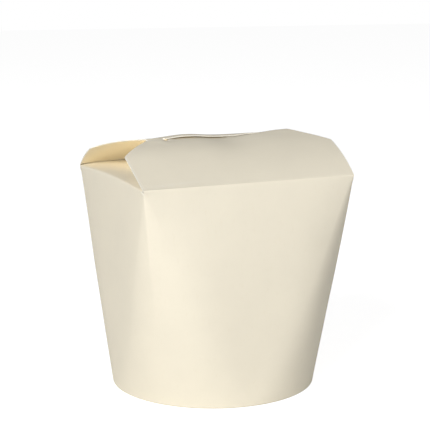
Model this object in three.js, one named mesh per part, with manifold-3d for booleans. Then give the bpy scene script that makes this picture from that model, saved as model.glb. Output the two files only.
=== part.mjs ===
// Noodle takeaway box, shut: a folded paperboard carton with a rectangular mouth and a round base.
//
// The wall is one board sleeve that changes from a rectangle to a circle. Its four flaps close the mouth:
// the two side flaps lie almost level underneath, and the front and back flaps rise over them into a low
// roof, where the tongue of the front flap is pushed through a slit in the back flap. A pressed-in disc
// closes the round base. The box is shut, so what lies inside the sleeve is solid.
//
// Millimetres, +Z up, the origin at the middle of the base, the front panel facing -Y.

import * as THREE from "three";
import { ConvexGeometry } from "three/addons/geometries/ConvexGeometry.js";
import { mergeVertices } from "three/addons/utils/BufferGeometryUtils.js";
import Module from "manifold-3d";

const wasm = await Module();
wasm.setup();

// ---------- driving dimensions ----------

const MOUTH_WIDTH = 101; // along X, at the top of the wall
const MOUTH_DEPTH = 86.6; // along Y, at the top of the wall
const MOUTH_CORNER = 3.2; // radius of the wall's four top corners, which the flaps' roots overhang
const WALL_HEIGHT = 98.5; // floor to the four top corners
const BASE_RADIUS = 47.3;
const BOARD = 0.5; // thickness of the board
const FOLD_RADIUS = 0.9; // outside radius of a crease
const FOLD_TURN = THREE.MathUtils.degToRad(47); // from the wall round to a flap's first slope
const SLACK = 0.3; // air between boards that lie on each other

// A panel that is bent round a circle at its foot swells outwards a little in its middle.
const PANEL_SWELL = { frontAndBack: 2.8, sides: 0.4, spread: 2.2 };
const SWELL_LEVELS = [0.22, 0.35, 0.48, 0.61, 0.74, 0.85, 0.94]; // shares of the wall's height

const BASE_STEPS = 96;
const CORNER_STEPS = 8;
const CREASE_STEPS = 12;
const SWELL_STEPS = 7;

// The base disc sits up inside the foot of the sleeve.
const FOOT_WIDTH = 1.8; // ring that the box stands on
const DISC_HEIGHT = 6.2; // floor to the underside of the disc
const DISC_THICKNESS = 0.8;
const DISC_ROUNDING = 0.3;

// Side flaps: the crease bows up along its length, and the flap rises a little towards the middle.
// Each line across a side flap lies at a distance from the crease, with its two ends set back from the
// front and back creases, and has one height at its ends and another, the crown, halfway along.
const SIDE_FLAP_LINES = [
  { distance: 0, setBack: MOUTH_CORNER, ends: 0.05, crown: 1.4 },
  { distance: FOLD_RADIUS / 3, setBack: MOUTH_CORNER, ends: 0.35, crown: 1.7 },
  { distance: 8, setBack: MOUTH_CORNER, ends: 1.4, crown: 2.15 },
  { distance: 22, setBack: MOUTH_CORNER, ends: 1.95, crown: 2.6 },
];

// Front and back flaps. A flap's profile rises from its crease as
//   lift + slope * run + swell * (1 - exp(-run / soft)) - bend * (run - straight)^2, the bend only past straight,
// and a flap is slightly twisted, so its left and right profiles differ.
const FRONT_FLAP = {
  left: { lift: 0.6, slope: 0.52, bend: 0.0144, straight: 20 },
  right: { lift: 1.3, swell: 23, soft: 25 },
};
const BACK_FLAP = {
  left: { lift: 0.5, swell: 18.7, soft: 21.5 },
  right: { lift: 0.6, swell: 19.8, soft: 23 },
};

const FLAP_HALF_WIDTH = 50.3;
const CORNER_RELIEF = 0.2; // a flap is this much narrower each side at its crease

const FRONT_CHAMFER_RUN = 22.5; // where the front flap's corners start to be cut off
const EAR_RUN = 37.5; // rear edge of the front flap, beside the tongue
const EAR_HALF_WIDTH = 35;
const CREST_RUN = 36.5; // where the tongue bends down
const TONGUE_HALF_WIDTH = 22.6;
const TONGUE_RUN = 50;
const TONGUE_ROUNDING = 0.25; // share of the tongue's width lost at its rounded end, squared

const BACK_CHAMFER_RUN = 16.4;
const BACK_FLAP_RUN = 56;
const BACK_END_HALF_WIDTH = 28;
const SLIT_HALF_WIDTH = 25.5;
const LIP_RUN = 45.5; // rear side of the slit, which the tongue lifts
const SLIT_RUN = 47.5; // front side of the slit, held down by the front flap

// How the lock bends the two flaps near the ridge. Places are along X.
const TONGUE_PULL = { depth: 1.6, at: 3.5, left: 10, right: 11.5, fromRun: 12, toRun: 36 };
const LEFT_PULL = { depth: 0.2, in: [-36, -24], out: [-13, 3] };
const LEFT_EAR = { ride: 0.65, in: [-38, -31], out: [-28, -25] };
const RIGHT_EAR = { ride: 0.3, in: [22, 30] };
const EAR_BEND = { fromRun: 31, toRun: 37 };
const LIP_LIFT = { height: 1.15, at: -14, left: 10, right: 11, length: 16, flat: 3 };
const LIP_CURL = { depth: 0.65, length: 4, out: [8, 20] };
const LIP_START = [-28, -25];
const UNDER_CREST = 0.15; // least step down from the crest to the tongue under the lip

// ---------- small helpers ----------

// 0 below a, 1 above b, smooth between them.
const ramp = (x, a, b) => {
  const t = Math.min(Math.max((x - a) / (b - a), 0), 1);
  return t * t * (3 - 2 * t);
};

// A soft hump of height 1 at its place, with its own width on each side.
const hump = (x, { at, left, right }) => Math.exp(-(((x - at) / (x < at ? left : right)) ** 2));

const mix = THREE.MathUtils.lerp;

// Evenly spaced numbers from a to b, both included.
const spread = (a, b, steps) => Array.from({ length: steps + 1 }, (_, i) => mix(a, b, i / steps));

function solidOf(geometry) {
  geometry.deleteAttribute("normal");
  geometry.deleteAttribute("uv");
  const merged = mergeVertices(geometry, 1e-4);
  return new wasm.Manifold(
    new wasm.Mesh({
      numProp: 3,
      vertProperties: merged.attributes.position.array,
      triVerts: new Uint32Array(merged.index.array),
    }),
  );
}

function geometryOf(solid) {
  const mesh = solid.getMesh();
  const geometry = new THREE.BufferGeometry();
  geometry.setAttribute("position", new THREE.BufferAttribute(mesh.vertProperties, 3));
  geometry.setIndex(new THREE.BufferAttribute(mesh.triVerts, 1));
  const faceted = geometry.toNonIndexed();
  faceted.computeVertexNormals();
  return faceted;
}

// ---------- the sleeve and the side flaps ----------

function baseRim() {
  const angles = spread(0, 2 * Math.PI, BASE_STEPS).slice(1);
  return angles.map((a) => new THREE.Vector3(BASE_RADIUS * Math.cos(a), BASE_RADIUS * Math.sin(a), 0));
}

function mouthCorners() {
  const points = [];
  const centreX = MOUTH_WIDTH / 2 - MOUTH_CORNER;
  const centreY = MOUTH_DEPTH / 2 - MOUTH_CORNER;
  for (const sideX of [-1, 1])
    for (const sideY of [-1, 1])
      for (const a of spread(0, Math.PI / 2, CORNER_STEPS)) {
        const x = sideX * (centreX + MOUTH_CORNER * Math.cos(a));
        const y = sideY * (centreY + MOUTH_CORNER * Math.sin(a));
        points.push(new THREE.Vector3(x, y, WALL_HEIGHT));
      }
  return points;
}

function sideFlapLines() {
  const points = [];
  for (const side of [-1, 1])
    for (const { distance, setBack, ends, crown } of SIDE_FLAP_LINES)
      for (const along of spread(-1, 1, CREASE_STEPS)) {
        const bow = Math.cos((along * Math.PI) / 2);
        const x = side * (MOUTH_WIDTH / 2 - distance);
        const y = along * (MOUTH_DEPTH / 2 - setBack);
        points.push(new THREE.Vector3(x, y, WALL_HEIGHT + mix(ends, crown, bow)));
      }
  return points;
}

// A panel's share of its full swell at a level: nothing at both rims, about 1 a little above halfway up.
const swellAt = (level) => 5.6 * level ** 1.5 * (1 - level);

// The outline of the sleeve at a share of its height, from the middle of each panel to the middle of a corner.
function swollenRing(level) {
  const rounding = mix(BASE_RADIUS, MOUTH_CORNER, level);
  const flats = [MOUTH_WIDTH, MOUTH_DEPTH].map((size) => level * (size / 2 - MOUTH_CORNER));
  const points = [];
  [PANEL_SWELL.frontAndBack, PANEL_SWELL.sides].forEach((most, panel) => {
    const length = flats[panel] + (rounding * Math.PI) / 4;
    for (const share of spread(0, 1, SWELL_STEPS)) {
      const turn = Math.max(0, share * length - flats[panel]) / rounding;
      const across = Math.cos((Math.PI / 2) * share ** PANEL_SWELL.spread) ** 2;
      const out = rounding + most * swellAt(level) * across;
      const along = Math.min(share * length, flats[panel]) + out * Math.sin(turn);
      const away = flats[1 - panel] + out * Math.cos(turn);
      const [x, y] = panel === 0 ? [along, away] : [away, along];
      for (const sideX of [-1, 1])
        for (const sideY of [-1, 1]) points.push(new THREE.Vector3(sideX * x, sideY * y, level * WALL_HEIGHT));
    }
  });
  return points;
}

// A board sleeve that is flat wherever it can be has the form of the convex hull of its two rims. The swollen
// rings between them round it off a little, and the two side flaps close it as a low dome.
function sleeveWithSideFlaps() {
  const rings = SWELL_LEVELS.flatMap(swollenRing);
  return solidOf(new ConvexGeometry([...baseRim(), ...rings, ...mouthCorners(), ...sideFlapLines()]));
}

// The sleeve's foot stands a little below the disc, which leaves a round recess under the box.
function footRecess() {
  const radius = BASE_RADIUS - FOOT_WIDTH;
  const top = DISC_HEIGHT + DISC_THICKNESS + SLACK;
  const bottom = -1;
  const cut = new THREE.CylinderGeometry(radius, radius, top - bottom, BASE_STEPS);
  cut.rotateX(Math.PI / 2);
  cut.translate(0, 0, (top + bottom) / 2);
  return solidOf(cut);
}

// ---------- the flap surfaces ----------

function profile({ lift, slope = 0, swell = 0, soft = 1, bend = 0, straight = 0 }, run) {
  const past = Math.max(0, run - straight);
  return lift + slope * run + swell * (1 - Math.exp(-run / soft)) - bend * past ** 2;
}

const twisted = (flap, x, run) => mix(profile(flap.left, run), profile(flap.right, run), x / MOUTH_WIDTH + 0.5);

// Half the width of a flap whose corners are cut off in a straight line to its end.
function halfWidth(run, chamferRun, endRun, endHalf) {
  const cut = Math.max(0, (run - chamferRun) / (endRun - chamferRun));
  const relief = CORNER_RELIEF * Math.exp(-run / 3);
  return mix(FLAP_HALF_WIDTH - relief, endHalf, cut);
}

const frontHalfWidth = (run) => halfWidth(run, FRONT_CHAMFER_RUN, EAR_RUN, EAR_HALF_WIDTH);
const backHalfWidth = (run) => halfWidth(run, BACK_CHAMFER_RUN, BACK_FLAP_RUN, BACK_END_HALF_WIDTH);

// The same line across the box, counted from the other crease.
const fromOtherCrease = (run) => MOUTH_DEPTH - run;

// How far the front flap is drawn down near the ridge: the tongue pulls the middle down,
// and the ears ride up where they lie on the back flap.
function drawnDown(x, run) {
  const middle = TONGUE_PULL.depth * hump(x, TONGUE_PULL);
  const left = LEFT_PULL.depth * (ramp(x, ...LEFT_PULL.in) - ramp(x, ...LEFT_PULL.out));
  const leftEar = LEFT_EAR.ride * ramp(x, ...LEFT_EAR.in) * (1 - ramp(x, ...LEFT_EAR.out));
  const rightEar = RIGHT_EAR.ride * ramp(x, ...RIGHT_EAR.in);
  const pull = ramp(run, TONGUE_PULL.fromRun, TONGUE_PULL.toRun);
  return (middle + left) * pull - (leftEar + rightEar) * ramp(run, EAR_BEND.fromRun, EAR_BEND.toRun);
}

const frontFlapFree = (x, run) => twisted(FRONT_FLAP, x, run) - drawnDown(x, run);

// Back flap behind the slit: the tongue under it lifts the lip, whose edge curls down again.
function backFlapFree(x, run) {
  const start = ramp(x, ...LIP_START);
  const lift = LIP_LIFT.height * hump(x, LIP_LIFT) * ramp(run, LIP_RUN - LIP_LIFT.length, LIP_RUN - LIP_LIFT.flat);
  const curl = LIP_CURL.depth * (1 - ramp(x, ...LIP_CURL.out)) * ramp(run, LIP_RUN - LIP_CURL.length, LIP_RUN);
  return twisted(BACK_FLAP, x, run) + (lift - curl) * start;
}

// The tongue bends down at the crest of the front flap and slides under the lip of the slit.
function tongueRise(x, run) {
  const underLip = (r) => backFlapFree(x, fromOtherCrease(r)) - BOARD - SLACK;
  const lip = fromOtherCrease(LIP_RUN);
  const crest = frontFlapFree(x, CREST_RUN);
  const droop = Math.max(0, underLip(lip) - (crest - UNDER_CREST));
  if (run >= lip) return underLip(run) - droop;
  return mix(crest, underLip(lip) - droop, ramp(run, CREST_RUN, lip));
}

const frontFlapRise = (x, run) => (run > EAR_RUN ? tongueRise(x, run) : frontFlapFree(x, run));

// Past the slit the back flap lies against the underside of the front flap and the root of its tongue.
function backFlapRise(x, run) {
  if (run <= LIP_RUN) return backFlapFree(x, run);
  const frontRun = fromOtherCrease(Math.max(run, SLIT_RUN));
  const byTongue = frontRun > CREST_RUN && Math.abs(x) < SLIT_HALF_WIDTH - 0.1;
  const front = byTongue ? tongueRise(x, frontRun) : frontFlapFree(x, frontRun);
  return mix(backFlapFree(x, LIP_RUN), front - BOARD - SLACK, ramp(run, LIP_RUN, SLIT_RUN));
}

// ---------- sheets of board ----------

// Corners of a grid cell, counter-clockwise as seen from the board's outer face.
const CELL = [[0, 0], [0, 1], [1, 1], [1, 0]];

// Closes a grid of points on the outer face of a board into a sheet BOARD thick.
// isBoard(row, column) says which cells of the grid are board; the others are cut away.
function boardSheet(grid, isBoard) {
  const rows = grid.length;
  const columns = grid[0].length;
  const kept = (r, c) => r >= 0 && c >= 0 && r < rows - 1 && c < columns - 1 && isBoard(r, c);
  const cells = [];
  for (let r = 0; r < rows - 1; r++) for (let c = 0; c < columns - 1; c++) if (kept(r, c)) cells.push([r, c]);

  const normals = grid.map((row) => row.map(() => new THREE.Vector3()));
  for (const [r, c] of cells) {
    const rising = new THREE.Vector3().subVectors(grid[r + 1][c + 1], grid[r][c]);
    const falling = new THREE.Vector3().subVectors(grid[r + 1][c], grid[r][c + 1]);
    const normal = rising.cross(falling).normalize();
    for (const [dr, dc] of CELL) normals[r + dr][c + dc].add(normal);
  }

  const positions = [];
  grid.forEach((row, r) =>
    row.forEach((point, c) => {
      const behind = point.clone().addScaledVector(normals[r][c].normalize(), -BOARD);
      positions.push(...point, ...behind);
    }),
  );

  const outer = (r, c) => 2 * (r * columns + c);
  const inner = (r, c) => outer(r, c) + 1;
  const faces = [];
  const quad = (a, b, c, d) => faces.push(a, b, c, a, c, d);
  for (const [r, c] of cells) {
    const corners = CELL.map(([dr, dc]) => [r + dr, c + dc]);
    const beyond = [[r - 1, c], [r, c + 1], [r + 1, c], [r, c - 1]];
    quad(...corners.map((at) => outer(...at)));
    quad(...corners.map((at) => inner(...at)).reverse());
    beyond.forEach((cell, i) => {
      const from = corners[i];
      const to = corners[(i + 1) % 4];
      if (!kept(...cell)) quad(outer(...to), outer(...from), inner(...from), inner(...to));
    });
  }

  const geometry = new THREE.BufferGeometry();
  geometry.setAttribute("position", new THREE.Float32BufferAttribute(positions, 3));
  geometry.setIndex(faces);
  return solidOf(geometry.toNonIndexed());
}

// Rows across a crease: up from inside the wall, then round the fold to the flap's first slope.
function creaseRows(flap, columns, place) {
  const sunk = 0.03; // keeps the root of the flap just inside the wall's face
  const root = { half: FLAP_HALF_WIDTH - MOUTH_CORNER / 2, rise: -0.5 };
  const foldStart = FOLD_RADIUS * Math.tan(FOLD_TURN / 2);
  const half = FLAP_HALF_WIDTH - CORNER_RELIEF;
  const rows = [columns.map((s) => place(s * root.half, sunk, root.rise))];
  for (const a of [0, FOLD_TURN / 3, (2 * FOLD_TURN) / 3]) {
    const run = sunk + FOLD_RADIUS * (1 - Math.cos(a));
    const rise = (x) => twisted(flap, x, 0) - foldStart + FOLD_RADIUS * Math.sin(a);
    rows.push(columns.map((s) => place(s * half, run, rise(s * half))));
  }
  return rows;
}

// Column places from -1 to 1 across a flap, with one column exactly at each side of its tongue or slit.
function columnsWith(edge) {
  const inside = 18;
  const outside = 4;
  const middle = spread(-edge, edge, inside).slice(1, -1);
  return [...spread(-1, -edge, outside), ...middle, ...spread(edge, 1, outside)];
}

function frontFlap() {
  const place = (x, run, rise) => new THREE.Vector3(x, run - MOUTH_DEPTH / 2, WALL_HEIGHT + rise);
  const edge = TONGUE_HALF_WIDTH / EAR_HALF_WIDTH;
  const columns = columnsWith(edge);
  const rows = creaseRows(FRONT_FLAP, columns, place);
  for (const run of [0.32, 2.5, 5.5, 9, 13, 17.5, FRONT_CHAMFER_RUN, 26.5, 30, 33, 35, CREST_RUN, EAR_RUN]) {
    const half = frontHalfWidth(run);
    rows.push(columns.map((s) => place(s * half, run, frontFlapRise(s * half, run))));
  }
  const earRow = rows.length - 1;
  for (const run of [39, fromOtherCrease(LIP_RUN), 42, 44.5, 47, 49, TONGUE_RUN]) {
    const rounding = Math.sqrt(1 - TONGUE_ROUNDING * ramp(run, 43, TONGUE_RUN) ** 2);
    const half = EAR_HALF_WIDTH * rounding;
    rows.push(columns.map((s) => place(s * half, run, frontFlapRise(s * half, run))));
  }
  const inTongue = (c) => Math.abs(columns[c] + columns[c + 1]) / 2 < edge;
  return boardSheet(rows, (r, c) => r < earRow || inTongue(c));
}

function backFlap() {
  // Seen from behind, the back flap's own left is the box's right.
  const place = (x, run, rise) => new THREE.Vector3(-x, MOUTH_DEPTH / 2 - run, WALL_HEIGHT + rise);
  const fromBehind = { left: BACK_FLAP.right, right: BACK_FLAP.left };
  const edge = SLIT_HALF_WIDTH / backHalfWidth(LIP_RUN);
  const columns = columnsWith(edge);
  const rows = creaseRows(fromBehind, columns, place);
  const behindSlit = [0.32, 2.5, 5.5, 9, 13, BACK_CHAMFER_RUN, 21, 26, 31, 35, 38.5, 41.5, 43.5, LIP_RUN];
  const lipRow = rows.length + behindSlit.length - 1;
  for (const run of [...behindSlit, SLIT_RUN, 50, 53, BACK_FLAP_RUN]) {
    const half = backHalfWidth(run);
    rows.push(columns.map((s) => place(s * half, run, backFlapRise(-s * half, run))));
  }
  const inSlit = (c) => Math.abs(columns[c] + columns[c + 1]) / 2 < edge;
  return boardSheet(rows, (r, c) => r !== lipRow || !inSlit(c));
}

// ---------- the base disc ----------

function baseDisc() {
  const radius = BASE_RADIUS - FOOT_WIDTH - SLACK;
  const top = DISC_HEIGHT + DISC_THICKNESS;
  const outline = [
    new THREE.Vector2(0, DISC_HEIGHT),
    new THREE.Vector2(radius - DISC_ROUNDING, DISC_HEIGHT),
    new THREE.Vector2(radius, DISC_HEIGHT + DISC_ROUNDING),
    new THREE.Vector2(radius, top),
    new THREE.Vector2(0, top),
  ];
  const geometry = new THREE.LatheGeometry(outline, BASE_STEPS);
  geometry.rotateX(Math.PI / 2);
  return geometry;
}

// ---------- the box ----------

const creamBoard = new THREE.MeshStandardMaterial({ color: "#efe7d2", roughness: 0.62, metalness: 0 });
const discBoard = new THREE.MeshStandardMaterial({ color: "#e6dabd", roughness: 0.55, metalness: 0 });

function named(name, geometry, material) {
  const mesh = new THREE.Mesh(geometry, material);
  mesh.name = name;
  return mesh;
}

const carton = sleeveWithSideFlaps().subtract(footRecess()).add(frontFlap()).add(backFlap());

const group = new THREE.Group();
group.add(named("carton", geometryOf(carton), creamBoard));
group.add(named("base_disc", baseDisc(), discBoard));

export default group;
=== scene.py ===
# %% [markdown]
# # A noodle takeaway box, shut
# The real thing is one die-cut blank of cream board. It is wrapped round into a sleeve, glued along one seam,
# hemmed round a pressed disc at the foot, and closed by four flaps that are the sleeve's own top edge folded
# in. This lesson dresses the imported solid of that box. The solid says where everything is; here it gets a board
# of true thickness, cut edges, creases, a seam, a foot and a paper finish.

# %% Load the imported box
import math

import bmesh
import bpy
import numpy as np
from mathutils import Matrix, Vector
from mathutils.kdtree import KDTree


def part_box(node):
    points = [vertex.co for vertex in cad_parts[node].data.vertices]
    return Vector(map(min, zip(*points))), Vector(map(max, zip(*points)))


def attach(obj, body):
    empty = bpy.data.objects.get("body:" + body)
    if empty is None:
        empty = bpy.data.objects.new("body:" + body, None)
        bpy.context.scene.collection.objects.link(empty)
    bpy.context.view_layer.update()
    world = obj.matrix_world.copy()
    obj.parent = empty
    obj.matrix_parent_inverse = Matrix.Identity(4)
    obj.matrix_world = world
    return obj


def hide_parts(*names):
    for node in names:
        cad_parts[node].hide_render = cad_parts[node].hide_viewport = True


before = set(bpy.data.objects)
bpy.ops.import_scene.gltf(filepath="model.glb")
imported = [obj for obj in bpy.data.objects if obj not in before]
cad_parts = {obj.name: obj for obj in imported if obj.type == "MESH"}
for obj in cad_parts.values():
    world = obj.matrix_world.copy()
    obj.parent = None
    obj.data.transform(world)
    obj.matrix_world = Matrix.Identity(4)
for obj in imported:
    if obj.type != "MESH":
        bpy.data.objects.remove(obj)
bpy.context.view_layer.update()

# %% [markdown]
# ## Sizes
# A carton maker draws in millimetres, so every size below is in millimetres and each mesh is brought to metres
# when it is made. The mouth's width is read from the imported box, so the board always fits the solid. The other
# sizes are the carton's own: how deep the mouth is, how high the creases lie, how wide the foot is, how thick
# the board is and how tightly it folds.

# %% Sizes of the sleeve
MM = 0.001
box_low, box_high = (np.array(corner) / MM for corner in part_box("carton"))
MOUTH_WIDTH = box_high[0] - box_low[0]
MOUTH_DEPTH = 86.6
WALL_HEIGHT = 98.5  # floor to the four corners of the mouth
MOUTH_CORNER = 0.8  # radius of the wall's corners, just below the sharp ends of the creases
FOOT_RADIUS = 47.3
BOARD = 0.5
FOLD_RADIUS = 0.9  # outside radius of every crease
HALF_WIDTH, HALF_DEPTH = MOUTH_WIDTH / 2, MOUTH_DEPTH / 2
print(f"mouth {MOUTH_WIDTH:.1f} x {MOUTH_DEPTH:.1f}, foot {2 * FOOT_RADIUS:.1f}, height {box_high[2]:.1f} mm")

# %% [markdown]
# ## How shut flaps bend
# A flap that is pushed shut isn't flat: it springs up from its crease and levels off towards the ridge. Each
# flap's profile is a lift at the crease, then a swell that dies away or a straight slope that bends over late,
# and it changes evenly from the flap's left side to its right. It is written as a formula of two lengths, x
# across the box and run from the crease, because a formula gives a smooth board at any density of points.


# %% Ramps and humps
def mix(a, b, t):
    return a + (b - a) * t


def ramp(x, a, b):
    t = np.clip((x - a) / (b - a), 0, 1)
    return t * t * (3 - 2 * t)


def hump(x, at, left, right):
    return np.exp(-(((x - at) / np.where(x < at, left, right)) ** 2))


print("a ramp:", np.round(ramp(np.linspace(0, 1, 6), 0, 1), 2))

# %% The free shape of the front and back flaps
FRONT_FLAP = {
    "left": {"lift": 0.6, "slope": 0.52, "bend": 0.0144, "straight": 20},
    "right": {"lift": 1.3, "swell": 23.0, "soft": 25},
}
BACK_FLAP = {
    "left": {"lift": 0.5, "swell": 18.7, "soft": 21.5},
    "right": {"lift": 0.6, "swell": 19.8, "soft": 23},
}


def rise_along(run, lift, slope=0, swell=0, soft=1, bend=0, straight=0):
    past = np.maximum(0, run - straight)
    return lift + slope * run + swell * (1 - np.exp(-run / soft)) - bend * past**2


def twisted(flap, x, run):
    left, right = (rise_along(run, **flap[side]) for side in ("left", "right"))
    return mix(left, right, x / MOUTH_WIDTH + 0.5)


free_rise = [round(float(twisted(flap, 0, 40)), 1) for flap in (FRONT_FLAP, BACK_FLAP)]
print("40 mm from its crease, the middle of a free flap would rise by", free_rise, "mm")

# %% Outlines of the flaps
FLAP_HALF_WIDTH = 50.3
CORNER_RELIEF, RELIEF_RUN = 0.2, 3  # a flap is this much narrower on each side at its crease
FRONT_CHAMFER_RUN, EAR_RUN, EAR_HALF_WIDTH = 22.5, 37.5, 35.0
CREST_RUN, TONGUE_HALF_WIDTH, TONGUE_RUN = 36.5, 22.6, 50.0
TONGUE_ROUNDING, TONGUE_ROUND_RUN = 0.25, 43  # how much its end is rounded, and from where
BACK_CHAMFER_RUN, BACK_FLAP_RUN, BACK_END_HALF_WIDTH = 16.4, 56.0, 28.0
SLIT_HALF_WIDTH, LIP_RUN, SLIT_RUN = 25.5, 45.5, 47.5


def half_width(run, chamfer_run, end_run, end_half):
    cut = np.maximum(0, (run - chamfer_run) / (end_run - chamfer_run))
    return mix(FLAP_HALF_WIDTH - CORNER_RELIEF * np.exp(-run / RELIEF_RUN), end_half, cut)


def front_half_width(run):
    """Past the ears only the tongue is left; its columns narrow to its rounded end."""
    if run <= EAR_RUN:
        return half_width(run, FRONT_CHAMFER_RUN, EAR_RUN, EAR_HALF_WIDTH)
    return EAR_HALF_WIDTH * np.sqrt(1 - TONGUE_ROUNDING * ramp(run, TONGUE_ROUND_RUN, TONGUE_RUN) ** 2)


def back_half_width(run):
    return half_width(run, BACK_CHAMFER_RUN, BACK_FLAP_RUN, BACK_END_HALF_WIDTH)


ROOT_HALF = FLAP_HALF_WIDTH - CORNER_RELIEF
print(f"flap roots {2 * ROOT_HALF:.1f} mm wide in a mouth of {MOUTH_WIDTH:.1f} mm")

# %% [markdown]
# The lock is what makes the roof look pushed together by hand. The tongue draws the middle of the front flap
# down, while the two ears beside it ride up on the back flap. The tongue lifts the lip of the slit in turn.

# %% How the lock bends the front flap
TONGUE_PULL, TONGUE_PULL_AT = 1.6, {"at": 3.5, "left": 10, "right": 11.5}
LEFT_PULL, LEFT_PULL_IN, LEFT_PULL_OUT = 0.2, (-36, -24), (-13, 3)
LEFT_EAR_RIDE, LEFT_EAR_IN, LEFT_EAR_OUT = 0.65, (-38, -31), (-28, -25)
RIGHT_EAR_RIDE, RIGHT_EAR_IN = 0.3, (22, 30)
PULL_RUNS, EAR_RUNS = (12, 36), (31, 37)  # where along the flap each starts, and where it is whole


def drawn_down(x, run):
    """How far the front flap is drawn down near the ridge by its tongue, less what its ears ride up."""
    middle = TONGUE_PULL * hump(x, **TONGUE_PULL_AT)
    left = LEFT_PULL * (ramp(x, *LEFT_PULL_IN) - ramp(x, *LEFT_PULL_OUT))
    left_ear = LEFT_EAR_RIDE * ramp(x, *LEFT_EAR_IN) * (1 - ramp(x, *LEFT_EAR_OUT))
    ears = left_ear + RIGHT_EAR_RIDE * ramp(x, *RIGHT_EAR_IN)
    return (middle + left) * ramp(run, *PULL_RUNS) - ears * ramp(run, *EAR_RUNS)


def front_free(x, run):
    return twisted(FRONT_FLAP, x, run) - drawn_down(x, run)


print(f"the tongue draws the crest down by up to {drawn_down(TONGUE_PULL_AT['at'], CREST_RUN):.1f} mm")

# %% How the lock bends the back flap
LIP_SIDE = (-28, -25)  # where the lip parts from the board beside the slit
LIP_LIFT, LIP_LIFT_AT, LIP_LIFT_RUNS = 1.15, {"at": -14, "left": 10, "right": 11}, (LIP_RUN - 16, LIP_RUN - 3)
LIP_CURL, LIP_CURL_OUT, LIP_CURL_RUNS = 0.65, (8, 20), (LIP_RUN - 4, LIP_RUN)


def back_free(x, run):
    """The back flap behind its slit: the tongue lifts the lip, whose edge curls down again."""
    lift = LIP_LIFT * hump(x, **LIP_LIFT_AT) * ramp(run, *LIP_LIFT_RUNS)
    curl = LIP_CURL * (1 - ramp(x, *LIP_CURL_OUT)) * ramp(run, *LIP_CURL_RUNS)
    return twisted(BACK_FLAP, x, run) + (lift - curl) * ramp(x, *LIP_SIDE)


ridge = np.linspace(-30, 30, 7)
print("lip over crest, mm:", np.round(back_free(ridge, LIP_RUN) - front_free(ridge, CREST_RUN), 2))

# %% Where the two flaps lie on each other
SLACK = 0.2  # air where one board lies on the other
UNDER_CREST = 0.15  # least step down from the front flap's crest to the tongue under the lip
TONGUE_SIDE = (-TONGUE_HALF_WIDTH - 0.1, -TONGUE_HALF_WIDTH + 1.4)  # where the bend at the crest sets in


def from_other_crease(run):
    return MOUTH_DEPTH - run


def tongue_rise(x, run):
    """The tongue bends down at the crest of the front flap and slides under the lip."""
    def under_lip(r):
        return back_free(x, from_other_crease(r)) - BOARD - SLACK

    lip = from_other_crease(LIP_RUN)
    crest = front_free(x, CREST_RUN)
    droop = np.maximum(0, under_lip(lip) - (crest - UNDER_CREST))
    bend = mix(crest, under_lip(lip) - droop, ramp(run, CREST_RUN, lip))
    return np.where(run >= lip, under_lip(np.maximum(run, lip)) - droop, bend)


def front_rise(x, run):
    in_tongue = ramp(-np.abs(x), *TONGUE_SIDE)
    bent = np.where(run > EAR_RUN, 1.0, in_tongue) * (run > CREST_RUN)
    return mix(front_free(x, run), tongue_rise(x, run), bent)


def back_rise(x, run):
    """Past its slit the back flap lies against the underside of the front flap."""
    front_run = from_other_crease(np.maximum(run, SLIT_RUN))
    pressed = front_rise(x, front_run) - BOARD - SLACK
    past = mix(back_free(x, LIP_RUN), pressed, ramp(run, LIP_RUN, SLIT_RUN))
    return np.where(run <= LIP_RUN, back_free(x, run), past)


print("tongue over crest, mm:", np.round(tongue_rise(ridge, TONGUE_RUN) - front_free(ridge, CREST_RUN), 2))

# %% [markdown]
# ## The two rims of the sleeve
# The sleeve is flat board bent in one direction only, so a straight ruler lies on it all the way from the mouth
# to the foot. Such a surface can be drawn by its two rims alone: the rectangle of the mouth and the circle of
# the foot, with a straight line from each point of one to its partner on the other. Along a straight edge of
# the mouth the partner hardly moves, which makes the flat triangle of a panel; at a corner of the mouth the
# partner sweeps almost a quarter of the circle, which makes the soft cone below it. Board doesn't start a bend
# all at once, so a panel turns a little over the last stretch before its corner. The wall is round at its
# corners, but the creases above it run on to a sharp corner, so every station keeps two places: one on the wall
# and one on the creases. The rims start and end at the glued seam, in the back left corner, because the real
# blank does too.

# %% Places along one edge of the mouth
PANEL_SPREAD = math.radians(3)  # how far round the foot half a panel's edge spreads
HALF_TURN_COLUMNS = 15  # round half a corner
SOFT_TURN, SOFT_REACH = math.radians(4.5), 17.0  # how much a panel turns before its corner, and from where
SOFT_SUNK = math.tan(SOFT_TURN) * SOFT_REACH / 3  # how far that bend has drawn the wall in
CORNER_REACH = SOFT_SUNK + MOUTH_CORNER * (math.cos(SOFT_TURN) - math.sin(SOFT_TURN))


def edge_places(count, *marks):
    """Places from -1 to 1 along an edge, closer towards its ends, with a column exactly at each mark."""
    places = np.sin(np.linspace(-1, 1, count) * math.pi / 2)
    for mark in marks:
        for side in (-mark, mark):
            places[np.argmin(np.abs(places - side))] = side
    return places


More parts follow.
